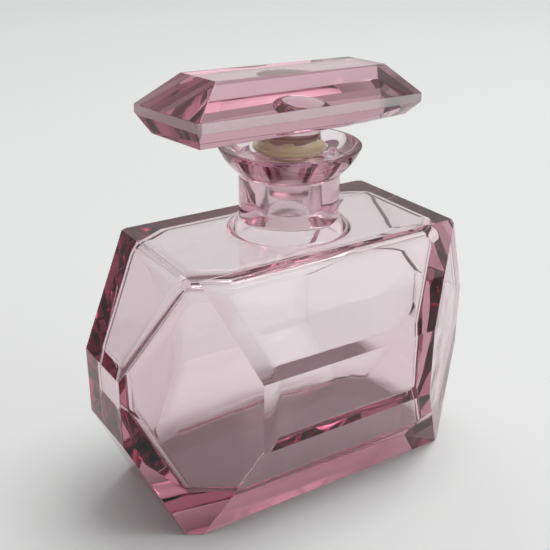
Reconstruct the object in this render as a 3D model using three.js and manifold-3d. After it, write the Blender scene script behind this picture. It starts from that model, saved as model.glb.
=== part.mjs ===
// Cut-glass scent bottle with a tall slab stopper. Millimetres, +Z up.
// The origin is the centre of the base. The broad front looks along -Y, the width runs along X.
// Two pieces of glass: the bottle, and the stopper that stands in its neck.

import * as THREE from 'three';
import { ConvexGeometry } from 'three/addons/geometries/ConvexGeometry.js';
import { mergeVertices } from 'three/addons/utils/BufferGeometryUtils.js';
import Module from 'manifold-3d';

// ---- driving dimensions -------------------------------------------------------------------

// Each broad or narrow side of the body has three ground faces: an upper slope, an upright
// girdle band and a lower slope. "half" values are distances from the axis.
const SHOULDER_Z = 76.4;
const FRONT = { halfBase: 21.1, halfGirdle: 29.5, halfTop: 21.5, lowZ: 25.9, highZ: 47.0 };
const LEFT = { halfBase: 45.1, halfGirdle: 58.5, halfTop: 41.8, lowZ: 29.1, highZ: 48.6 };
const RIGHT = { ...LEFT, lowZ: 27.4, highZ: 46.8 };

// Upright faces across the four vertical corners: the angle is in degrees from the front's normal
// towards the side's, the offset is the distance from the axis.
const CORNER = { angle: 30.3, offset: 38.9 };
const RIGHT_FRONT_CORNER = { angle: 34.3, offset: 41.95 };

// The hollow keeps the outer shape at a wall's distance, with round edges.
// The walls of a side are those of its lower slope, girdle and upper slope.
const BASE_THICKNESS = 10.0;
const TOP_WALL = 3.2;
const FRONT_WALLS = [4.6, 4.0, 3.2];
const END_WALLS = [8.0, 5.0, 4.0];
const CORNER_WALL = 6.0;
const HOLLOW_EDGE_RADIUS = 4.5;

// Neck and lip. The lip swells out of the neck in a quarter ellipse up to a sharp rim.
const NECK_RADIUS = 14.0;
const NECK_FOOT_RADIUS = 17.3; // of the sloping foot where it meets the shoulder
const NECK_FOOT_Z = 79.6; // top of that slope
const LIP_UNDER_Z = 92.2; // the lip starts to swell here
const LIP_SWELL = 0.7; // how far the flare bows out from straight
const LIP_RADIUS = 19.8;
const LIP_TOP_Z = 99.8;
const RIM_WIDTH = 1.2; // level ring round the dished top

// Mouth and ground bore.
const DISH_DEPTH = 1.2; // the lip's top falls this much towards the mouth
const MOUTH_RADIUS = 10.9;
const SEAT_Z = 94.6; // the mouth's funnel ends and the ground bore starts
const BORE_TOP_RADIUS = 6.4;
const BORE_FOOT_RADIUS = 5.9;
const BORE_FOOT_Z = 81.4;
const HOLLOW_MOUTH_RADIUS = 14.2; // of the funnel below the bore where it opens into the hollow

// Stopper: a slab with a bevelled top, an upright girdle and sides that draw in below it, and a
// turned stem. Heights are from the slab's underside.
const SLAB_Z = 105.8;
const SLAB = { halfLength: 39.3, halfDepth: 13.5, girdleHeight: 6.4, height: 14.3 };
const TABLE = { halfLength: 29.7, halfDepth: 7.1 };
const SLAB_SHIFT = -1.4; // of the slab along its length, from the stem's axis
const UNDERCUT = { height: 3.9, inset: 1.0 }; // where and how far each side draws in
const SLAB_TURN = 8.9; // degrees about the bottle's axis, as it stands in the neck
const SLAB_TILT = 3.0; // degrees out of level along its length, as it was ground
const STEM_TOP_RADIUS = 9.6;
const WAIST_RADIUS = 8.3;
const WAIST_Z = 103.0;
const SKIRT_RADIUS = 10.1;
const SKIRT_Z = 98.9; // lower edge of the stem's flare, just above the mouth
const SKIRT_RIM = 0.5; // height of the flare's upright edge
const PLUG_FOOT_Z = 86.0;
const PLUG_CHAMFER = 0.8;
const JOINT_GAP = 0.35; // between the plug and the bore, all round

// How the solids are cut and joined.
const SUNK = 2.0; // how far a joined or cutting solid reaches past its neighbour's face
const ROUND_STEPS = 72;
const ARC_STEPS = 8;
const BALL_DETAIL = 3;

// ---- materials ----------------------------------------------------------------------------

const bottleGlass = new THREE.MeshStandardMaterial({
  color: 0xc9a3ae, roughness: 0.04, metalness: 0, transparent: true, opacity: 0.45,
});
const stopperGlass = new THREE.MeshStandardMaterial({
  color: 0xc592a3, roughness: 0.05, metalness: 0, transparent: true, opacity: 0.5,
});

// ---- solids -------------------------------------------------------------------------------

const UP = new THREE.Vector3(0, 0, 1);
const DOWN = new THREE.Vector3(0, 0, -1);
const FLAT_TOLERANCE = 1e-6;
const MERGE_TOLERANCE = 1e-5;

const wasm = await Module();
wasm.setup();

function toSolid(geometry) {
  const bare = geometry.index ? geometry.toNonIndexed() : geometry.clone();
  bare.deleteAttribute('normal');
  bare.deleteAttribute('uv');
  const merged = mergeVertices(bare, MERGE_TOLERANCE);
  return new wasm.Manifold(new wasm.Mesh({
    numProp: 3,
    vertProperties: new Float32Array(merged.attributes.position.array),
    triVerts: new Uint32Array(merged.index.array),
  }));
}

function toGeometry(solid) {
  const mesh = solid.getMesh();
  const geometry = new THREE.BufferGeometry();
  geometry.setAttribute('position', new THREE.BufferAttribute(mesh.vertProperties, 3));
  geometry.setIndex(new THREE.BufferAttribute(mesh.triVerts, 1));
  geometry.computeVertexNormals();
  return geometry;
}

// A face is a plane whose normal looks out of the solid.
function face(normal, point) {
  return new THREE.Plane().setFromNormalAndCoplanarPoint(normal.clone().normalize(), point);
}

// The point where three faces meet, or null where they don't meet in one.
function meetingPoint(faces) {
  const [a, b, c] = faces.map((plane) => plane.normal);
  const system = new THREE.Matrix3().set(a.x, a.y, a.z, b.x, b.y, b.z, c.x, c.y, c.z);
  if (Math.abs(system.determinant()) < FLAT_TOLERANCE) return null;
  const offsets = faces.map((plane) => -plane.constant);
  return new THREE.Vector3(...offsets).applyMatrix3(system.invert());
}

// Every corner where three faces meet and no other face cuts it away.
function cornersOf(faces) {
  const corners = [];
  for (let i = 0; i < faces.length; i++) {
    for (let j = i + 1; j < faces.length; j++) {
      for (let k = j + 1; k < faces.length; k++) {
        const corner = meetingPoint([faces[i], faces[j], faces[k]]);
        const kept = corner && faces.every((plane) => plane.distanceToPoint(corner) < FLAT_TOLERANCE);
        if (kept) corners.push(corner);
      }
    }
  }
  return corners;
}

// The revolved solid of an outline of [radius, z] points, bottom to top, axis to axis.
function turned(outline) {
  const points = outline.map(([radius, z]) => new THREE.Vector2(radius, z));
  return toSolid(new THREE.LatheGeometry(points, ROUND_STEPS).rotateX(Math.PI / 2));
}

// Points on an ellipse about [radius, z], from one angle to another, in degrees.
function arc(centre, radii, fromAngle, toAngle) {
  return Array.from({ length: ARC_STEPS + 1 }, (_, i) => {
    const angle = THREE.MathUtils.degToRad(fromAngle + ((toAngle - fromAngle) * i) / ARC_STEPS);
    return [centre[0] + radii[0] * Math.cos(angle), centre[1] + radii[1] * Math.sin(angle)];
  });
}

// ---- bottle -------------------------------------------------------------------------------

// The three faces of one side. "out" is the horizontal direction the side looks in.
function sideFaces(side, out) {
  const across = new THREE.Vector3().crossVectors(UP, out);
  const at = (distance, z) => out.clone().multiplyScalar(distance).setZ(z);
  const slope = (from, to) => face(new THREE.Vector3().crossVectors(across, to.sub(from)), from);
  return [
    slope(at(side.halfBase, 0), at(side.halfGirdle, side.lowZ)),
    face(out, at(side.halfGirdle, 0)),
    slope(at(side.halfGirdle, side.highZ), at(side.halfTop, SHOULDER_Z)),
  ];
}

function bodyFaces() {
  const faces = [
    face(DOWN, new THREE.Vector3()),
    face(UP, new THREE.Vector3(0, 0, SHOULDER_Z)),
    ...sideFaces(FRONT, new THREE.Vector3(0, -1, 0)),
    ...sideFaces(FRONT, new THREE.Vector3(0, 1, 0)),
    ...sideFaces(LEFT, new THREE.Vector3(-1, 0, 0)),
    ...sideFaces(RIGHT, new THREE.Vector3(1, 0, 0)),
  ];
  for (const x of [-1, 1]) {
    for (const y of [-1, 1]) {
      const corner = x > 0 && y < 0 ? RIGHT_FRONT_CORNER : CORNER;
      const angle = THREE.MathUtils.degToRad(corner.angle);
      const out = new THREE.Vector3(x * Math.sin(angle), y * Math.cos(angle), 0);
      faces.push(face(out, out.clone().multiplyScalar(corner.offset)));
    }
  }
  return faces;
}

// The hollow: balls at the corners of the shrunken body, wrapped in one convex skin.
function hollow() {
  const corners = [CORNER_WALL, CORNER_WALL, CORNER_WALL, CORNER_WALL];
  const sides = [...FRONT_WALLS, ...FRONT_WALLS, ...END_WALLS, ...END_WALLS];
  const walls = [BASE_THICKNESS, TOP_WALL, ...sides, ...corners];
  const shrunk = bodyFaces().map((plane, i) =>
    new THREE.Plane(plane.normal, plane.constant + walls[i] + HOLLOW_EDGE_RADIUS));
  const ball = new THREE.IcosahedronGeometry(HOLLOW_EDGE_RADIUS, BALL_DETAIL).attributes.position;
  const points = cornersOf(shrunk).flatMap((corner) =>
    Array.from({ length: ball.count }, (_, i) =>
      new THREE.Vector3().fromBufferAttribute(ball, i).add(corner)));
  return toSolid(new ConvexGeometry(points));
}

// Points from one end to the other, bowed out to the right of the way they run.
function bowed(start, end, rise) {
  const [along, up] = [end[0] - start[0], end[1] - start[1]];
  const length = Math.hypot(along, up);
  return Array.from({ length: ARC_STEPS + 1 }, (_, i) => {
    const share = i / ARC_STEPS;
    const out = (4 * rise * share * (1 - share)) / length;
    return [start[0] + along * share + up * out, start[1] + up * share - along * out];
  });
}

function neckOutline() {
  return [
    [0, SHOULDER_Z - SUNK],
    [NECK_FOOT_RADIUS, SHOULDER_Z - SUNK],
    [NECK_FOOT_RADIUS, SHOULDER_Z],
    [NECK_RADIUS, NECK_FOOT_Z],
    ...bowed([NECK_RADIUS, LIP_UNDER_Z], [LIP_RADIUS, LIP_TOP_Z], LIP_SWELL),
    [0, LIP_TOP_Z],
  ];
}

// The dished mouth, the ground bore and the funnel into the hollow, as one cutting tool.
function boreOutline() {
  const ceiling = SHOULDER_Z - TOP_WALL;
  return [
    [0, ceiling - SUNK],
    [HOLLOW_MOUTH_RADIUS, ceiling - SUNK],
    [HOLLOW_MOUTH_RADIUS, ceiling],
    [BORE_FOOT_RADIUS, BORE_FOOT_Z],
    [BORE_TOP_RADIUS, SEAT_Z],
    [MOUTH_RADIUS, LIP_TOP_Z - DISH_DEPTH],
    [LIP_RADIUS - RIM_WIDTH, LIP_TOP_Z],
    [LIP_RADIUS - RIM_WIDTH, LIP_TOP_Z + SUNK],
    [0, LIP_TOP_Z + SUNK],
  ];
}

function bottle() {
  const body = toSolid(new ConvexGeometry(cornersOf(bodyFaces())));
  return body.add(turned(neckOutline())).subtract(hollow()).subtract(turned(boreOutline()));
}

// ---- stopper ------------------------------------------------------------------------------

// The bevel, the girdle face and the undercut at one end or side of the slab.
function slabSide(out, half, tableHalf) {
  const rim = out.clone().multiplyScalar(half).setZ(SLAB.girdleHeight);
  const edge = rim.clone().setZ(UNDERCUT.height);
  const bevel = out.clone().multiplyScalar(SLAB.height - SLAB.girdleHeight).setZ(half - tableHalf);
  const undercut = out.clone().multiplyScalar(UNDERCUT.height).setZ(-UNDERCUT.inset);
  return [face(bevel, rim), face(out, rim), face(undercut, edge)];
}

function slab() {
  const faces = [
    face(DOWN, new THREE.Vector3()),
    face(UP, new THREE.Vector3(0, 0, SLAB.height)),
  ];
  for (const sign of [-1, 1]) {
    faces.push(...slabSide(new THREE.Vector3(sign, 0, 0), SLAB.halfLength, TABLE.halfLength));
    faces.push(...slabSide(new THREE.Vector3(0, sign, 0), SLAB.halfDepth, TABLE.halfDepth));
  }
  const shape = new ConvexGeometry(cornersOf(faces));
  shape.translate(SLAB_SHIFT, 0, 0).rotateY(THREE.MathUtils.degToRad(SLAB_TILT));
  return toSolid(shape.translate(0, 0, SLAB_Z));
}

// The tapered plug, the skirt above it and the waist below the slab.
function stemOutline() {
  const plugFootRadius = BORE_FOOT_RADIUS - JOINT_GAP;
  const waist = [SKIRT_RADIUS - WAIST_RADIUS, WAIST_Z - SKIRT_Z - SKIRT_RIM];
  return [
    [0, PLUG_FOOT_Z],
    [plugFootRadius - PLUG_CHAMFER, PLUG_FOOT_Z],
    [plugFootRadius, PLUG_FOOT_Z + PLUG_CHAMFER],
    [BORE_TOP_RADIUS - JOINT_GAP, SEAT_Z + JOINT_GAP],
    [SKIRT_RADIUS, SKIRT_Z],
    ...arc([SKIRT_RADIUS, WAIST_Z], waist, -90, -180),
    [STEM_TOP_RADIUS, SLAB_Z],
    [STEM_TOP_RADIUS, SLAB_Z + SUNK],
    [0, SLAB_Z + SUNK],
  ];
}

// ---- assembly -----------------------------------------------------------------------------

function piece(name, solid, material) {
  const mesh = new THREE.Mesh(toGeometry(solid), material);
  mesh.name = name;
  return mesh;
}

const stopperPlace = new THREE.Group();
stopperPlace.rotation.z = THREE.MathUtils.degToRad(SLAB_TURN);
stopperPlace.add(piece('stopper', slab().add(turned(stemOutline())), stopperGlass));

const scentBottle = new THREE.Group();
scentBottle.add(piece('bottle', bottle(), bottleGlass));
scentBottle.add(stopperPlace);

export default scentBottle;
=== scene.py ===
"""Looks for the cut-glass scent bottle: a faceted bottle and its slab stopper of pale rose glass.

Both pieces are rebuilt as smooth meshes of the same size as the CAD solids: flat faces that meet in
worn edges, and turned surfaces where the neck, lip and plug are round. Lengths are in millimetres
until a mesh is written, and the frame's axes are used throughout.
"""

import itertools
import math

import bpy
from mathutils import Matrix, Vector


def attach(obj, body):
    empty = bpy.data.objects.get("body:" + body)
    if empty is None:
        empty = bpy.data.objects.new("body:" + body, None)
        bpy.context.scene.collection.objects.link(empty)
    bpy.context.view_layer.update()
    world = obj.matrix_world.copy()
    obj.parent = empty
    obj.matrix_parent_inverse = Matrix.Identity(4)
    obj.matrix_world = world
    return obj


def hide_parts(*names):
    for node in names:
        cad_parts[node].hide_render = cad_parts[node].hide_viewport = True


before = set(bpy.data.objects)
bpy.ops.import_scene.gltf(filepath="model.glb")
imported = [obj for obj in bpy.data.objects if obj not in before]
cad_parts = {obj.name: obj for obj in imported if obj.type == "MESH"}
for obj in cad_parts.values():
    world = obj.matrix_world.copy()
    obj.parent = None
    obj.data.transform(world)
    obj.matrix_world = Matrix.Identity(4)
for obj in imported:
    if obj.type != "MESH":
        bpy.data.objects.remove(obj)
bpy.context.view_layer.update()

MM = 0.001
PARALLEL = 1e-6  # the determinant of planes that don't meet in one point
TOUCHING = 1e-4

# ---- driving dimensions, those of the CAD model -------------------------------------------------

SHOULDER_Z = 76.4
FRONT = {"base": 21.1, "girdle": 29.5, "top": 21.5, "low_z": 25.9, "high_z": 47.0}
LEFT = {"base": 45.1, "girdle": 58.5, "top": 41.8, "low_z": 29.1, "high_z": 48.6}
RIGHT = {**LEFT, "low_z": 27.4, "high_z": 46.8}
CORNER = {"angle": 30.3, "offset": 38.9}
RIGHT_FRONT_CORNER = {"angle": 34.3, "offset": 41.95}

TOP_WALL = 3.2
END_WALLS = (8.0, 5.0, 4.0)  # of the lower slope, girdle and upper slope at each end
FRONT_WALLS = (4.6, 4.0, 3.2)  # the same at the front and back
CORNER_WALL = 6.0
BASE_THICKNESS = 10.0
HOLLOW_EDGE = 4.5

NECK_RADIUS = 14.0
NECK_FOOT_RADIUS = 17.3
NECK_FOOT_Z = 79.6
LIP_UNDER_Z = 92.2
LIP_SWELL = 0.7
LIP_RADIUS = 19.8
LIP_TOP_Z = 99.8
RIM_WIDTH = 1.2
DISH_DEPTH = 1.2
MOUTH_RADIUS = 10.9
SEAT_Z = 94.6
BORE_TOP_RADIUS = 6.4
BORE_FOOT_RADIUS = 5.9
BORE_FOOT_Z = 81.4
HOLLOW_MOUTH_RADIUS = 14.2

SLAB_Z = 105.8
SLAB = {"length": 39.3, "depth": 13.5, "girdle": 6.4, "height": 14.3}
TABLE = {"length": 29.7, "depth": 7.1}
SLAB_SHIFT = -1.4  # of the slab along its length, from the stem's axis
UNDERCUT = {"height": 3.9, "inset": 1.0}
SLAB_TURN = 8.9
SLAB_TILT = 3.0
STEM_TOP_RADIUS = 9.6
WAIST_RADIUS = 8.3
WAIST_Z = 103.0
SKIRT_RADIUS = 10.1
SKIRT_Z = 98.9
SKIRT_RIM = 0.5
PLUG_FOOT_Z = 86.0
PLUG_CHAMFER = 0.8
JOINT_GAP = 0.35

# ---- wear, which the CAD model leaves out -------------------------------------------------------

WORN_EDGE = 0.25  # radius of the facets' edges
MATTE_PLANES = (2, 5, 8, 11, 14)  # of the slab's planes: its four girdle faces and the first chip
CHIPS = (  # the way each chip of the slab faces, and a point of it
    ((-1.0, -1.0, 0.0), (-38.5, -13.5, 0.0)),
    ((-1.0, 0.45, -0.9), (-39.3, 12.4, 3.9)),
    ((1.0, -0.5, -1.1), (39.3, -12.6, 3.2)),
    ((0.10, -1.0, -1.0), (20.0, -13.5, 2.2)),
)

# ---- radii of the corners of the turned outlines ------------------------------------------------

SPREAD_EASE = 2.0  # where the neck's foot meets the shoulder
FOOT_EASE = 1.2
LIP_EASE = 1.2
MOUTH_EASE = 0.6
SEAT_EASE = 0.6
THROAT_EASE = 1.5
PLUG_EASE = 0.3
SKIRT_EASE = 0.5  # where the plug meets the skirt
SKIRT_EDGE = 0.15

# ---- steps and first rings of the meshes --------------------------------------------------------

SHOULDER_RING = 1.5  # how far outside the neck's foot the shoulder's flat face begins
CEILING_RING = 1.0  # the same for the hollow's ceiling and its mouth
PLUG_RING = 0.05  # radius of the ring round the middle of the plug's foot
TURN_STEPS = 160
HOLLOW_STEPS = 8
EDGE_STEPS = 3
ARC_STEPS = 14
EASE_STEPS = 4

# ---- the glass ----------------------------------------------------------------------------------

GLASS_COLOUR = (0.647, 0.162, 0.338)  # of the absorption
GLASS_DENSITY = 34
GLASS_IOR = 1.5
POLISH = (0.005, 0.03)  # the least and the most roughness of a polished face
POLISH_NOISE = (60, 3)  # scale and detail
POLISH_FADE = (0.45, 0.75)  # the noise values it grows between
GROUND_ROUGHNESS = 0.35
GROUND_PAST = {"wall": 0.4, "foot": 0.5, "seat": 1.0}  # how far past its ends the bore is ground
FINE_GROUND = 0.5  # the roughness of the ground plug and bore, as a share of the girdle's
WORN_ROUGHNESS = 0.3
FROST = 0.32  # how far the slab's ground girdle hides what is behind it
MOULD_WAVES = 0.0004  # metres, the height of the waves that the mould left in the hollow's wall
MOULD_NOISE = (55, 1)
STAIN_COLOUR = (0.80, 0.64, 0.40)  # of the dried perfume on the skirt
STAIN_COVER = 0.8
STAIN_NOISE = (420, 4)
STAIN_EDGE = (-0.25, -0.05)  # how sharply the stain's ragged edge ends
STAIN_START = (0.0, 0.02)  # and where there is none at all
STAIN_BELOW = 0.5  # how far below the skirt's edge it starts

# ---- the set ------------------------------------------------------------------------------------

CAMERA = {"azimuth": -32.75, "elevation": 23.95, "roll": 0.26, "distance": 260.0, "lens": 58.9}
AIM = {"aside": -3.8, "z": 60.6}
FLOOR_COLOUR = (0.885, 0.90, 0.895)
FLOOR_ROUGHNESS = 0.75
FLOOR_HALF = 4.0  # metres
FLOOR_GAP = 0.0002  # metres under the bottle

WORLD_COLOUR = (1.0, 1.0, 0.99)
# The way to each light, the dot products with it that it fades between, and its levels there.
WORLD_LIGHTS = (
    ((0.82, 0.50, 0.12), (-0.35, 0.6), (0.11, 0.88)),  # the window, right, behind and above
    ((0.54, -0.83, 0.12), (0.86, 0.97), (0.0, 1.2)),  # a second one, which the front reflects
    ((0.49, 0.77, 0.41), (0.80, 0.96), (0.0, -0.22)),  # a darker wall behind
)
KEY = {"place": (0.6, -0.05, 2.0), "aim": (0, 0, 0.05), "size": 1.2, "power": 20}
BOUNCES = 40  # enough for the light to come out of the glass again
GLOSSY_BOUNCES = 16

UP = Vector((0, 0, 1))
DOWN = Vector((0, 0, -1))
X_AXIS = Vector((1, 0, 0))
Y_AXIS = Vector((0, 1, 0))
MARKS = ("ground", "stain", "inside", "worn", "frost")  # what a vertex can be marked with


# ---- faceted solids with rounded edges ----------------------------------------------------------


class Plane:
    """A face of a convex solid: its outward normal and its distance from the origin along it."""

    def __init__(self, normal, point):
        self.normal = Vector(normal).normalized()
        self.offset = self.normal.dot(Vector(point))

    def sunk(self, depth):
        return Plane(self.normal, self.normal * (self.offset - depth))


def meeting_point(a, b, c):
    system = Matrix((a.normal, b.normal, c.normal))
    if abs(system.determinant()) < PARALLEL:
        return None
    return system.inverted() @ Vector((a.offset, b.offset, c.offset))


def corners_of(planes):
    """{three plane numbers: the point where they meet}, for each corner that no plane cuts away."""
    found = {}
    for trio in itertools.combinations(range(len(planes)), 3):
        point = meeting_point(*(planes[i] for i in trio))
        if point and all(p.normal.dot(point) < p.offset + TOUCHING for p in planes):
            found[trio] = point
    return found


class Skin:
    """Vertices with their own normals, and faces wound to agree with them."""

    def __init__(self):
        self.points = []
        self.normals = []
        self.faces = []
        self.marks = {mark: {} for mark in MARKS}

    def add(self, point, normal, **marks):
        self.points.append(Vector(point))
        self.normals.append(Vector(normal).normalized())
        for name, value in marks.items():
            self.marks[name][len(self.points) - 1] = value
        return len(self.points) - 1

    def face(self, numbers):
        """Adds a face, turned so that it looks the way its vertices' normals do."""
        points = [self.points[n] for n in numbers]
        outward = sum((self.normals[n] for n in numbers), Vector())
        area = Vector()
        for here, there in zip(points, points[1:] + points[:1]):
            area += (here - points[0]).cross(there - points[0])
        self.faces.append(list(numbers) if area.dot(outward) > 0 else list(numbers)[::-1])

    def ring_ladder(self, lower, upper):
        """Faces between two closed rings with the same number of vertices."""
        for i in range(len(lower)):
            j = (i + 1) % len(lower)
            self.face((lower[i], lower[j], upper[j], upper[i]))


def by_angle(numbers, points, normal):
    """The numbers in order round the normal."""
    middle = sum((points[n] for n in numbers), Vector()) / len(numbers)
    first = (points[numbers[0]] - middle).normalized()
    second = normal.cross(first)
    return sorted(
        numbers,
        key=lambda n: math.atan2((points[n] - middle).dot(second), (points[n] - middle).dot(first)),
    )


def faceted(skin, planes, radius, steps, inside=False, holes=None, matte=()):
    """Adds a convex solid with rounded edges to the skin. inside makes it the wall of a hollow.

    holes gives, by plane number, the ring of vertices that the plane's face goes round, and matte
    holds the numbers of the planes that are ground and not polished.
    """
    sign = -1 if inside else 1
    inner = corners_of([p.sunk(radius) for p in planes])
    numbers = {}

    def vertex(trio, weights):
        key = (trio, tuple(sorted((p, w) for p, w in weights.items() if w)))
        if key not in numbers:
            out = sum((planes[p].normal * w for p, w in weights.items()), Vector()).normalized()
            sides = {p for p, w in weights.items() if w}
            marks = {
                "inside": float(inside),
                "ground": float(sides <= set(matte)),
                "frost": float(sides <= set(matte)),
                "worn": float(len(sides) > 1 and not inside),
            }
            numbers[key] = skin.add(inner[trio] + out * radius, out * sign, **marks)
        return numbers[key]

    for number, plane in enumerate(planes):
        around = [vertex(trio, {number: steps}) for trio in inner if number in trio]
        around = by_angle(around, skin.points, plane.normal)
        if holes and number in holes:
            face_with_hole(skin, around, holes[number], plane.normal)
        else:
            skin.face(around)
    for one, other in itertools.combinations(inner, 2):
        shared = sorted(set(one) & set(other))
        if len(shared) != 2:
            continue
        a, b = shared
        for t in range(steps):
            here = {a: steps - t, b: t}
            there = {a: steps - t - 1, b: t + 1}
            lower = (vertex(one, here), vertex(other, here))
            skin.face((*lower, vertex(other, there), vertex(one, there)))
    for trio in inner:

        def grid(u, v, trio=trio):
            return vertex(trio, {trio[0]: steps - u - v, trio[1]: u, trio[2]: v})

        for i in range(steps):
            for j in range(steps - i):
                skin.face((grid(i, j), grid(i + 1, j), grid(i, j + 1)))
                if i + j < steps - 1:
                    skin.face((grid(i + 1, j), grid(i + 1, j + 1), grid(i, j + 1)))


def face_with_hole(skin, around, ring, normal):
    """Joins a face's outline to the ring in it. A corner takes the part of the ring facing it."""
    ring = by_angle(ring, skin.points, normal)
    middle = sum((skin.points[n] for n in ring), Vector()) / len(ring)

    def corner(n):
        out = skin.points[n] - middle
        return max(range(len(around)), key=lambda k: out.dot(skin.points[around[k]]))

    for here, there in zip(ring, ring[1:] + ring[:1]):
        k = corner(here)
        skin.face((here, around[k], there))
        while k != corner(there):
            last, k = k, (k + 1) % len(around)
            skin.face((there, around[last], around[k]))


# ---- turned surfaces ----------------------------------------------------------------------------


def arc(centre, radii, start, end):
    """Points of an ellipse about (radius, z), from one angle to another, in degrees."""
    angles = [math.radians(start + (end - start) * i / ARC_STEPS) for i in range(ARC_STEPS + 1)]
    (x, z), (wide, high) = centre, radii
    return [(x + wide * math.cos(a), z + high * math.sin(a)) for a in angles]


def bowed(start, end, rise):
    """Points from one end to the other, bowed out to the right of the way they run."""
    start, along = Vector(start), Vector(end) - Vector(start)
    right = Vector((along.y, -along.x)).normalized()
    shares = [i / ARC_STEPS for i in range(ARC_STEPS + 1)]
    return [tuple(start + along * t + right * (4 * rise * t * (1 - t))) for t in shares]


def eased(before, corner, after, radius, steps=EASE_STEPS):
    """The corner of an outline rounded off, as points from one side to the other."""
    corner = Vector(corner)
    back = (Vector(before) - corner).normalized()
    ahead = (Vector(after) - corner).normalized()
    half = back.angle(ahead) / 2
    reach = radius / math.tan(half)
    centre = corner + (back + ahead).normalized() * (radius / math.sin(half))
    start = corner + back * reach - centre
    end = corner + ahead * reach - centre
    return [tuple(centre + start.slerp(end, i / steps) * radius) for i in range(steps + 1)]


def outline_normals(outline, first, last):
    """The normal at each point, to the right of the way the outline runs, mostly its longer side's.

    first and last are the normals at its ends, where it runs into a flat face.
    """
    segments = [Vector(b) - Vector(a) for a, b in zip(outline, outline[1:])]
    sides = [Vector((s.y, -s.x)) for s in segments]  # a longer segment has a longer one
    ends = [Vector(first)] + [a + b for a, b in zip(sides, sides[1:])] + [Vector(last)]
    return [n.normalized() for n in ends]


def turned(skin, outline, normals, marks, lift=None):
    """Adds the rings of an outline of (radius, z) and the faces between them. Returns the rings.

    marks(radius, z) gives what a ring is marked with. lift(point) moves a point up, for a surface
    that ends on a face that isn't level.
    """
    rings = []
    for (radius, z), normal in zip(outline, normals):
        ring = []
        for i in range(TURN_STEPS):
            a = math.tau * i / TURN_STEPS
            point = Vector((radius * math.cos(a), radius * math.sin(a), z))
            if lift:
                point.z += lift(point)
            out = (normal.x * math.cos(a), normal.x * math.sin(a), normal.y)
            ring.append(skin.add(point, out, **marks(radius, z)))
        rings.append(ring)
    for lower, upper in zip(rings, rings[1:]):
        skin.ring_ladder(lower, upper)
    return rings


# ---- meshes -------------------------------------------------------------------------------------


def piece(name, skin, place=Matrix.Identity(4)):
    """The Blender object of a skin, in metres, with its normals kept."""
    mesh = bpy.data.meshes.new(name)
    points = [place @ p * MM for p in skin.points]
    mesh.from_pydata(points, [], skin.faces)
    mesh.shade_smooth()
    turn = place.to_3x3()
    mesh.normals_split_custom_set_from_vertices([tuple(turn @ n) for n in skin.normals])
    for mark, values in skin.marks.items():
        layer = mesh.attributes.new(mark, "FLOAT", "POINT")
        layer.data.foreach_set("value", [values.get(n, 0.0) for n in range(len(points))])
    made = bpy.data.objects.new(name, mesh)
    bpy.context.scene.collection.objects.link(made)
    return made


def side_planes(side, out):
    """The lower slope, girdle band and upper slope of one side of the body."""
    across = UP.cross(out)

    def at(distance, z):
        return out * distance + UP * z

    def slope(start, end):
        return Plane(across.cross(end - start), start)

    return [
        slope(at(side["base"], 0), at(side["girdle"], side["low_z"])),
        Plane(out, at(side["girdle"], 0)),
        slope(at(side["girdle"], side["high_z"]), at(side["top"], SHOULDER_Z)),
    ]


def body_planes():
    """The base first and the shoulder second, then the sides and the upright corner faces."""
    planes = [Plane(DOWN, (0, 0, 0)), Plane(UP, (0, 0, SHOULDER_Z))]
    planes += side_planes(FRONT, -Y_AXIS) + side_planes(FRONT, Y_AXIS)
    planes += side_planes(LEFT, -X_AXIS) + side_planes(RIGHT, X_AXIS)
    for x, y in itertools.product((-1, 1), repeat=2):
        corner = RIGHT_FRONT_CORNER if (x, y) == (1, -1) else CORNER
        angle = math.radians(corner["angle"])
        out = Vector((x * math.sin(angle), y * math.cos(angle), 0))
        planes.append(Plane(out, out * corner["offset"]))
    return planes


def bottle_outline():
    """From the shoulder up the neck, round the lip and down the bore to the hollow's ceiling."""
    ceiling = (HOLLOW_MOUTH_RADIUS + CEILING_RING, SHOULDER_Z - TOP_WALL)
    spring = (HOLLOW_MOUTH_RADIUS, SHOULDER_Z - TOP_WALL)
    spread = (NECK_FOOT_RADIUS + SHOULDER_RING, SHOULDER_Z)
    foot = (NECK_FOOT_RADIUS, SHOULDER_Z)
    neck = (NECK_RADIUS, NECK_FOOT_Z)
    rim = (LIP_RADIUS, LIP_TOP_Z)
    lip = bowed((NECK_RADIUS, LIP_UNDER_Z), rim, LIP_SWELL)
    dish = (LIP_RADIUS - RIM_WIDTH, LIP_TOP_Z)
    mouth = (MOUTH_RADIUS, LIP_TOP_Z - DISH_DEPTH)
    seat = (BORE_TOP_RADIUS, SEAT_Z)
    bore_foot = (BORE_FOOT_RADIUS, BORE_FOOT_Z)
    return [
        spread,
        *eased(spread, foot, neck, SPREAD_EASE, ARC_STEPS),
        *eased(foot, neck, lip[0], FOOT_EASE, ARC_STEPS),
        *eased(neck, lip[0], lip[2], LIP_EASE, ARC_STEPS),
        *lip[2:-1],
        *eased(lip[-2], rim, dish, WORN_EDGE),
        *eased(rim, dish, mouth, WORN_EDGE),
        *eased(dish, mouth, seat, MOUTH_EASE),
        *eased(mouth, seat, bore_foot, SEAT_EASE),
        *eased(seat, bore_foot, spring, THROAT_EASE),
        *eased(bore_foot, spring, ceiling, THROAT_EASE),
        ceiling,
    ]


def bottle_marks(radius, z):
    """The bore is ground. It and the throat below it are inside, where the mould left its waves."""
    wall = radius < BORE_TOP_RADIUS + GROUND_PAST["wall"]
    height = BORE_FOOT_Z - GROUND_PAST["foot"] < z < SEAT_Z + GROUND_PAST["seat"]
    inside = radius < HOLLOW_MOUTH_RADIUS + CEILING_RING and z < SEAT_Z
    return {"ground": FINE_GROUND * (wall and height), "inside": float(inside)}


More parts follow.
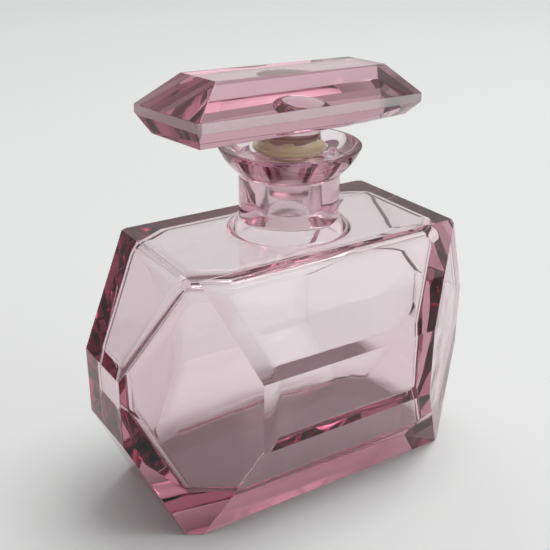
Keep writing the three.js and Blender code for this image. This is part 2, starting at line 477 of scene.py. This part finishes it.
def make_bottle():
    skin = Skin()
    outline = bottle_outline()
    rings = turned(skin, outline, outline_normals(outline, (0, 1), (0, -1)), bottle_marks)
    planes = body_planes()
    faceted(skin, planes, WORN_EDGE, EDGE_STEPS, holes={1: rings[0]})
    walls = (BASE_THICKNESS, TOP_WALL, *FRONT_WALLS * 2, *END_WALLS * 2, *[CORNER_WALL] * 4)
    inner = [plane.sunk(wall) for plane, wall in zip(planes, walls, strict=True)]
    faceted(skin, inner, HOLLOW_EDGE, HOLLOW_STEPS, inside=True, holes={1: rings[-1]})
    return piece("bottle_glass", skin)


def slab_planes():
    """The underside, table, each side's girdle, bevel and undercut, and the chips, from z = 0."""
    planes = [Plane(DOWN, (0, 0, 0)), Plane(UP, (0, 0, SLAB["height"]))]
    rise = SLAB["height"] - SLAB["girdle"]
    shift = X_AXIS * SLAB_SHIFT
    for axis, key in ((X_AXIS, "length"), (Y_AXIS, "depth")):
        for sign in (-1, 1):
            out = axis * sign
            rim = out * SLAB[key] + UP * SLAB["girdle"] + shift
            planes.append(Plane(out, rim))
            planes.append(Plane(out * rise + UP * (SLAB[key] - TABLE[key]), rim))
            under = rim + DOWN * (SLAB["girdle"] - UNDERCUT["height"])
            planes.append(Plane(out * UNDERCUT["height"] + DOWN * UNDERCUT["inset"], under))
    planes += [Plane(out, Vector(point) + shift) for out, point in CHIPS]
    return planes


def stem_outline():
    """From the middle of the plug's foot up the plug, over the skirt and waist to the slab."""
    foot = BORE_FOOT_RADIUS - JOINT_GAP
    top = (BORE_TOP_RADIUS - JOINT_GAP, SEAT_Z + JOINT_GAP)
    chamfer = (foot - PLUG_CHAMFER, PLUG_FOOT_Z)
    shoulder = (foot, PLUG_FOOT_Z + PLUG_CHAMFER)
    skirt = (SKIRT_RADIUS, SKIRT_Z)
    rim = (SKIRT_RADIUS, SKIRT_Z + SKIRT_RIM)
    waist = (SKIRT_RADIUS - WAIST_RADIUS, WAIST_Z - SKIRT_Z - SKIRT_RIM)
    head = (STEM_TOP_RADIUS - WAIST_RADIUS, SLAB_Z - WAIST_Z)
    return [
        (PLUG_RING, PLUG_FOOT_Z),
        *eased((0, PLUG_FOOT_Z), chamfer, shoulder, PLUG_EASE),
        *eased(chamfer, shoulder, top, PLUG_EASE),
        *eased(shoulder, top, skirt, SKIRT_EASE),
        *eased(top, skirt, rim, SKIRT_EDGE),
        *arc((SKIRT_RADIUS, WAIST_Z), waist, -90, -180),
        *arc((STEM_TOP_RADIUS, WAIST_Z), head, 180, 90)[1:],
    ]


def stopper_marks(radius, z):
    """The plug and the skirt are ground; the skirt is stained, most at its rim."""
    stain = 1.0 - (z - SKIRT_Z) / (WAIST_Z - SKIRT_Z) if z > SKIRT_Z - STAIN_BELOW else 0.0
    return {"ground": FINE_GROUND * (z < WAIST_Z), "stain": max(0.0, min(1.0, stain))}


def make_stopper():
    skin = Skin()
    tilt = Matrix.Translation((0, 0, SLAB_Z)) @ Matrix.Rotation(math.radians(SLAB_TILT), 4, "Y")
    slope = math.tan(math.radians(SLAB_TILT))

    def lift(point):
        """Moves the top of the stem, above its waist, onto the leaning slab."""
        return -slope * point.x * max(0.0, point.z - WAIST_Z) / (SLAB_Z - WAIST_Z)

    outline = stem_outline()
    normals = outline_normals(outline, (0, -1), (0, -1))
    rings = turned(skin, outline, normals, stopper_marks, lift=lift)
    centre = skin.add((0, 0, PLUG_FOOT_Z), DOWN, ground=FINE_GROUND)
    for i in range(TURN_STEPS):
        skin.face((centre, rings[0][i], rings[0][(i + 1) % TURN_STEPS]))
    planes = [Plane(tilt.to_3x3() @ p.normal, tilt @ (p.normal * p.offset)) for p in slab_planes()]
    faceted(skin, planes, WORN_EDGE, EDGE_STEPS, holes={0: rings[-1]}, matte=MATTE_PLANES)
    return piece("stopper_glass", skin, Matrix.Rotation(math.radians(SLAB_TURN), 4, "Z"))


# ---- materials ----------------------------------------------------------------------------------


def mark(tree, name):
    """The value of a mesh attribute, as a socket."""
    made = tree.nodes.new("ShaderNodeAttribute")
    made.attribute_name = name
    return made.outputs["Fac"]


def noise(tree, scale, detail):
    places = tree.nodes.new("ShaderNodeTexCoord")
    made = tree.nodes.new("ShaderNodeTexNoise")
    made.inputs["Scale"].default_value = scale
    made.inputs["Detail"].default_value = detail
    tree.links.new(places.outputs["Object"], made.inputs["Vector"])
    return made.outputs["Fac"]


def maths(tree, operation, *values):
    """The operation's result, as a socket. MULTIPLY_ADD keeps it between 0 and 1."""
    made = tree.nodes.new("ShaderNodeMath")
    made.operation = operation
    made.use_clamp = operation == "MULTIPLY_ADD"
    for socket, value in zip(made.inputs, values):
        if isinstance(value, bpy.types.NodeSocket):
            tree.links.new(value, socket)
        else:
            socket.default_value = value
    return made.outputs[0]


def between(tree, value, low, high, out_low=0.0, out_high=1.0):
    """The value eased from one range into another, as a socket."""
    made = tree.nodes.new("ShaderNodeMapRange")
    made.interpolation_type = "SMOOTHSTEP"
    ends = {"From Min": low, "From Max": high, "To Min": out_low, "To Max": out_high}
    for name, number in ends.items():
        made.inputs[name].default_value = number
    tree.links.new(value, made.inputs["Value"])
    return made.outputs["Result"]


def roughness(tree):
    """A polished face's own, and more where the glass is ground or worn."""
    rough = between(tree, noise(tree, *POLISH_NOISE), *POLISH_FADE, *POLISH)
    for name, most in (("ground", GROUND_ROUGHNESS), ("worn", WORN_ROUGHNESS)):
        rough = maths(tree, "MAXIMUM", rough, maths(tree, "MULTIPLY", mark(tree, name), most))
    return rough


def stained(tree):
    """How far dried perfume covers the skirt, with a ragged upper edge."""
    stain = mark(tree, "stain")
    ragged = maths(tree, "SUBTRACT", stain, noise(tree, *STAIN_NOISE))
    cover = between(tree, ragged, *STAIN_EDGE)
    return maths(tree, "MULTIPLY", cover, between(tree, stain, *STAIN_START))


def glass(name):
    material = bpy.data.materials.new(name)
    material.use_nodes = True
    tree = material.node_tree
    shader = tree.nodes["Principled BSDF"]
    shader.inputs["Transmission Weight"].default_value = 1.0
    shader.inputs["IOR"].default_value = GLASS_IOR
    tree.links.new(roughness(tree), shader.inputs["Roughness"])

    waves = tree.nodes.new("ShaderNodeBump")
    waves.inputs["Distance"].default_value = MOULD_WAVES
    tree.links.new(noise(tree, *MOULD_NOISE), waves.inputs["Height"])
    tree.links.new(mark(tree, "inside"), waves.inputs["Strength"])
    tree.links.new(waves.outputs["Normal"], shader.inputs["Normal"])

    stain = stained(tree)
    colour = tree.nodes.new("ShaderNodeMix")
    colour.data_type = "RGBA"
    tree.links.new(stain, colour.inputs["Factor"])
    colour.inputs["A"].default_value = (1, 1, 1, 1)
    colour.inputs["B"].default_value = (*STAIN_COLOUR, 1)
    tree.links.new(colour.outputs["Result"], shader.inputs["Base Color"])
    clear = maths(tree, "MULTIPLY_ADD", mark(tree, "frost"), -FROST, 1.0)
    clear = maths(tree, "MULTIPLY", clear, maths(tree, "MULTIPLY_ADD", stain, -STAIN_COVER, 1.0))
    tree.links.new(clear, shader.inputs["Transmission Weight"])

    volume = tree.nodes.new("ShaderNodeVolumeAbsorption")
    volume.inputs["Color"].default_value = (*GLASS_COLOUR, 1)
    volume.inputs["Density"].default_value = GLASS_DENSITY
    tree.links.new(volume.outputs["Volume"], tree.nodes["Material Output"].inputs["Volume"])
    return material


def pale_floor():
    material = bpy.data.materials.new("pale_floor")
    material.use_nodes = True
    shader = material.node_tree.nodes["Principled BSDF"]
    shader.inputs["Base Color"].default_value = (*FLOOR_COLOUR, 1)
    shader.inputs["Roughness"].default_value = FLOOR_ROUGHNESS
    return material


# ---- camera, floor and lights -------------------------------------------------------------------


def make_camera():
    az, el, roll = (math.radians(CAMERA[k]) for k in ("azimuth", "elevation", "roll"))
    back = Vector((math.sin(az) * math.cos(el), -math.cos(az) * math.cos(el), math.sin(el)))
    right = Vector((math.cos(az), math.sin(az), 0))
    above = back.cross(right)
    aim = right * AIM["aside"] + UP * AIM["z"]
    place = aim + back * CAMERA["distance"]
    x = right * math.cos(roll) + above * math.sin(roll)
    y = above * math.cos(roll) - right * math.sin(roll)
    camera = bpy.data.objects.new("camera", bpy.data.cameras.new("camera"))
    camera.data.lens = CAMERA["lens"]
    camera.data.clip_start = 0.01
    turn = Matrix((x, y, back)).transposed().to_4x4()
    camera.matrix_world = Matrix.Translation(place * MM) @ turn
    bpy.context.scene.collection.objects.link(camera)
    bpy.context.scene.camera = camera


def make_floor():
    mesh = bpy.data.meshes.new("floor")
    corners = [(x * FLOOR_HALF, y * FLOOR_HALF, 0) for x, y in ((-1, -1), (1, -1), (1, 1), (-1, 1))]
    mesh.from_pydata(corners, [], [(0, 1, 2, 3)])
    floor = bpy.data.objects.new("floor", mesh)
    floor.location.z = -FLOOR_GAP
    bpy.context.scene.collection.objects.link(floor)
    mesh.materials.append(pale_floor())


def make_world():
    """Light from all round that grows and fades with how far a direction is from each light's."""
    world = bpy.data.worlds.new("studio")
    bpy.context.scene.world = world
    world.use_nodes = True
    tree = world.node_tree
    background = tree.nodes["Background"]
    places = tree.nodes.new("ShaderNodeTexCoord")
    levels = []
    for side, fade, ends in WORLD_LIGHTS:
        towards = tree.nodes.new("ShaderNodeVectorMath")
        towards.operation = "DOT_PRODUCT"
        towards.inputs[1].default_value = side
        tree.links.new(places.outputs["Generated"], towards.inputs[0])
        levels.append(between(tree, towards.outputs["Value"], *fade, *ends))
    window, sheen, wall = levels
    level = maths(tree, "ADD", maths(tree, "ADD", window, sheen), wall)
    background.inputs["Color"].default_value = (*WORLD_COLOUR, 1)
    tree.links.new(level, background.inputs["Strength"])


def make_key():
    light = bpy.data.lights.new("key", "AREA")
    light.shape = "RECTANGLE"
    light.size = light.size_y = KEY["size"]
    light.energy = KEY["power"]
    key = bpy.data.objects.new("key", light)
    place = Vector(KEY["place"])
    key.location = place
    key.rotation_euler = (Vector(KEY["aim"]) - place).to_track_quat("-Z", "Y").to_euler()
    bpy.context.scene.collection.objects.link(key)


# ---- the scene ----------------------------------------------------------------------------------

bpy.context.scene.view_settings.view_transform = "Standard"
cycles = bpy.context.scene.cycles
cycles.max_bounces = BOUNCES
cycles.transmission_bounces = BOUNCES
cycles.glossy_bounces = GLOSSY_BOUNCES

make_camera()
make_floor()
make_world()
make_key()

bottle = make_bottle()
bottle.data.materials.append(glass("bottle_glass"))
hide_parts("bottle")
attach(bottle, "bottle")

stopper = make_stopper()
stopper.data.materials.append(glass("stopper_glass"))
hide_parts("stopper")
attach(stopper, "stopper")
